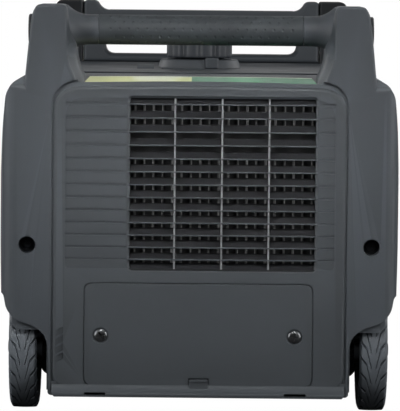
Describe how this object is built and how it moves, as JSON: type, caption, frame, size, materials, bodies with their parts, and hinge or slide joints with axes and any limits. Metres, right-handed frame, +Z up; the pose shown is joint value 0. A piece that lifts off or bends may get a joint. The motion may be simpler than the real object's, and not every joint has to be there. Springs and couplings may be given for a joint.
{
  "type": "inverter generator",
  "caption": "Wheeled inverter generator in a charcoal plastic case, with carrying bars at both ends, a pull-out handle, a louvred exhaust end and a recessed control panel.",
  "frame": {"origin": "centre of the footprint, on the ground under the wheels and feet", "axes": "+Z up, -Y out of the louvred exhaust end, +Y out of the control panel, the recoil starter on -X"},
  "size_m": [0.45, 0.6, 0.465],
  "materials": {
    "charcoal_plastic": "moulded charcoal, fine texture",
    "panel_plastic": "moulded charcoal, fine texture",
    "black_plastic": "moulded black, satin",
    "grip_rubber": "dimpled soft rubber",
    "tyre_rubber": "matt tread rubber",
    "steel": "zinc plated",
    "dark_steel": "heat-resistant black paint",
    "cast_aluminium": "as cast",
    "label_film": "printed film, yellow-green and green",
    "red_plastic": "moulded signal red",
    "window": "smoked display window"
  },
  "bodies": {
    "housing": {"side_cover_left": "charcoal_plastic", "side_cover_right": "charcoal_plastic", "top_cover": "charcoal_plastic", "rear_handle_bar": "charcoal_plastic", "front_handle": "charcoal_plastic", "front_panel": "charcoal_plastic", "fuel_filler_neck": "charcoal_plastic", "rear_end_panel": "panel_plastic", "louvre_grille": "panel_plastic", "service_cover": "panel_plastic", "base_pan": "black_plastic", "service_cover_latch": "black_plastic", "rear_handle_cap_left": "black_plastic", "rear_handle_cap_right": "black_plastic", "control_panel": "black_plastic", "duplex_outlet": "black_plastic", "locking_outlet": "black_plastic", "dc_outlet": "black_plastic", "spark_plug": "black_plastic", "air_cleaner": "black_plastic", "recoil_housing": "black_plastic", "battery": "black_plastic", "fuel_tank": "black_plastic", "rear_handle_grip": "grip_rubber", "front_handle_grip": "grip_rubber", "front_foot_left": "grip_rubber", "front_foot_right": "grip_rubber", "service_cover_screw_left": "steel", "service_cover_screw_right": "steel", "axle": "steel", "rail_guide_left": "steel", "rail_guide_right": "steel", "ground_terminal": "steel", "inner_guard": "dark_steel", "muffler": "dark_steel", "alternator_stator": "dark_steel", "engine_block": "cast_aluminium", "cylinder_head": "cast_aluminium", "carburettor": "cast_aluminium", "inverter_module": "cast_aluminium", "top_label": "label_film", "display_window": "window"},
    "wheel_left": {"wheel_rim_left": "black_plastic", "tyre_left": "tyre_rubber"},
    "wheel_right": {"wheel_rim_right": "black_plastic", "tyre_right": "tyre_rubber"},
    "pull_handle": {"pull_handle_frame": "black_plastic", "pull_handle_grip": "grip_rubber"},
    "handle_release": {"handle_release_button": "red_plastic"},
    "fuel_cap": {"fuel_cap": "black_plastic"},
    "vent_lever": {"fuel_cap_vent_lever": "black_plastic"},
    "recoil_handle": {"recoil_handle": "black_plastic"},
    "crankshaft": {"alternator_rotor": "dark_steel"},
    "engine_dial": {"engine_dial": "red_plastic"},
    "start_button": {"start_button": "red_plastic"},
    "eco_switch": {"eco_switch": "black_plastic"},
    "breaker_button": {"circuit_breaker_button": "black_plastic"},
    "outlet_cover": {"locking_outlet_cover": "grip_rubber"},
    "service_door": {"service_door": "charcoal_plastic"},
    "service_door_knob": {"service_door_knob": "black_plastic"}
  },
  "joints": [
    {"name": "wheel_left_spin", "type": "hinge", "parent": "housing", "child": "wheel_left", "pos_m": [-0.199, -0.216, 0.07], "axis": [1, 0, 0], "continuous": true},
    {"name": "wheel_right_spin", "type": "hinge", "parent": "housing", "child": "wheel_right", "pos_m": [0.199, -0.216, 0.07], "axis": [1, 0, 0], "continuous": true},
    {"name": "pull_handle_slide", "type": "slide", "parent": "housing", "child": "pull_handle", "axis": [0, 1, 0], "range_m": [0, 0.32]},
    {"name": "handle_release_press", "type": "slide", "parent": "pull_handle", "child": "handle_release", "axis": [0, -1, 0], "range_m": [0, 0.004], "stiffness_N_per_m": 400},
    {"name": "fuel_cap_turn", "type": "hinge", "parent": "housing", "child": "fuel_cap", "pos_m": [-0.002, 0, 0.419], "axis": [0, 0, 1], "range_deg": [0, 120]},
    {"name": "vent_lever_turn", "type": "hinge", "parent": "fuel_cap", "child": "vent_lever", "pos_m": [-0.002, 0, 0.444], "axis": [0, 0, 1], "range_deg": [0, 90]},
    {"name": "recoil_pull", "type": "slide", "parent": "housing", "child": "recoil_handle", "axis": [-1, 0, 0], "range_m": [0, 0.6], "stiffness_N_per_m": 25},
    {"name": "crankshaft_spin", "type": "hinge", "parent": "housing", "child": "crankshaft", "pos_m": [0, 0.02, 0.159], "axis": [1, 0, 0], "continuous": true},
    {"name": "engine_dial_turn", "type": "hinge", "parent": "housing", "child": "engine_dial", "pos_m": [0.098, 0.276, 0.309], "axis": [0, 1, 0], "range_deg": [0, 120]},
    {"name": "start_button_press", "type": "slide", "parent": "housing", "child": "start_button", "axis": [0, -1, 0], "range_m": [0, 0.003], "stiffness_N_per_m": 400},
    {"name": "eco_switch_rock", "type": "hinge", "parent": "housing", "child": "eco_switch", "pos_m": [0, 0.262, 0.311], "axis": [1, 0, 0], "range_deg": [-8, 8]},
    {"name": "breaker_button_press", "type": "slide", "parent": "housing", "child": "breaker_button", "axis": [0, -1, 0], "range_m": [0, 0.003]},
    {"name": "outlet_cover_lift", "type": "hinge", "parent": "housing", "child": "outlet_cover", "pos_m": [0.002, 0.276, 0.269], "axis": [1, 0, 0], "range_deg": [0, 120]},
    {"name": "service_door_swing", "type": "hinge", "parent": "housing", "child": "service_door", "pos_m": [0.2238, -0.0568, 0.234], "axis": [0, 0, -1], "range_deg": [0, 100]},
    {"name": "service_door_knob_turn", "type": "hinge", "parent": "service_door", "child": "service_door_knob", "pos_m": [0.22, 0.078, 0.234], "axis": [1, 0, 0], "range_deg": [0, 90]}
  ]
}
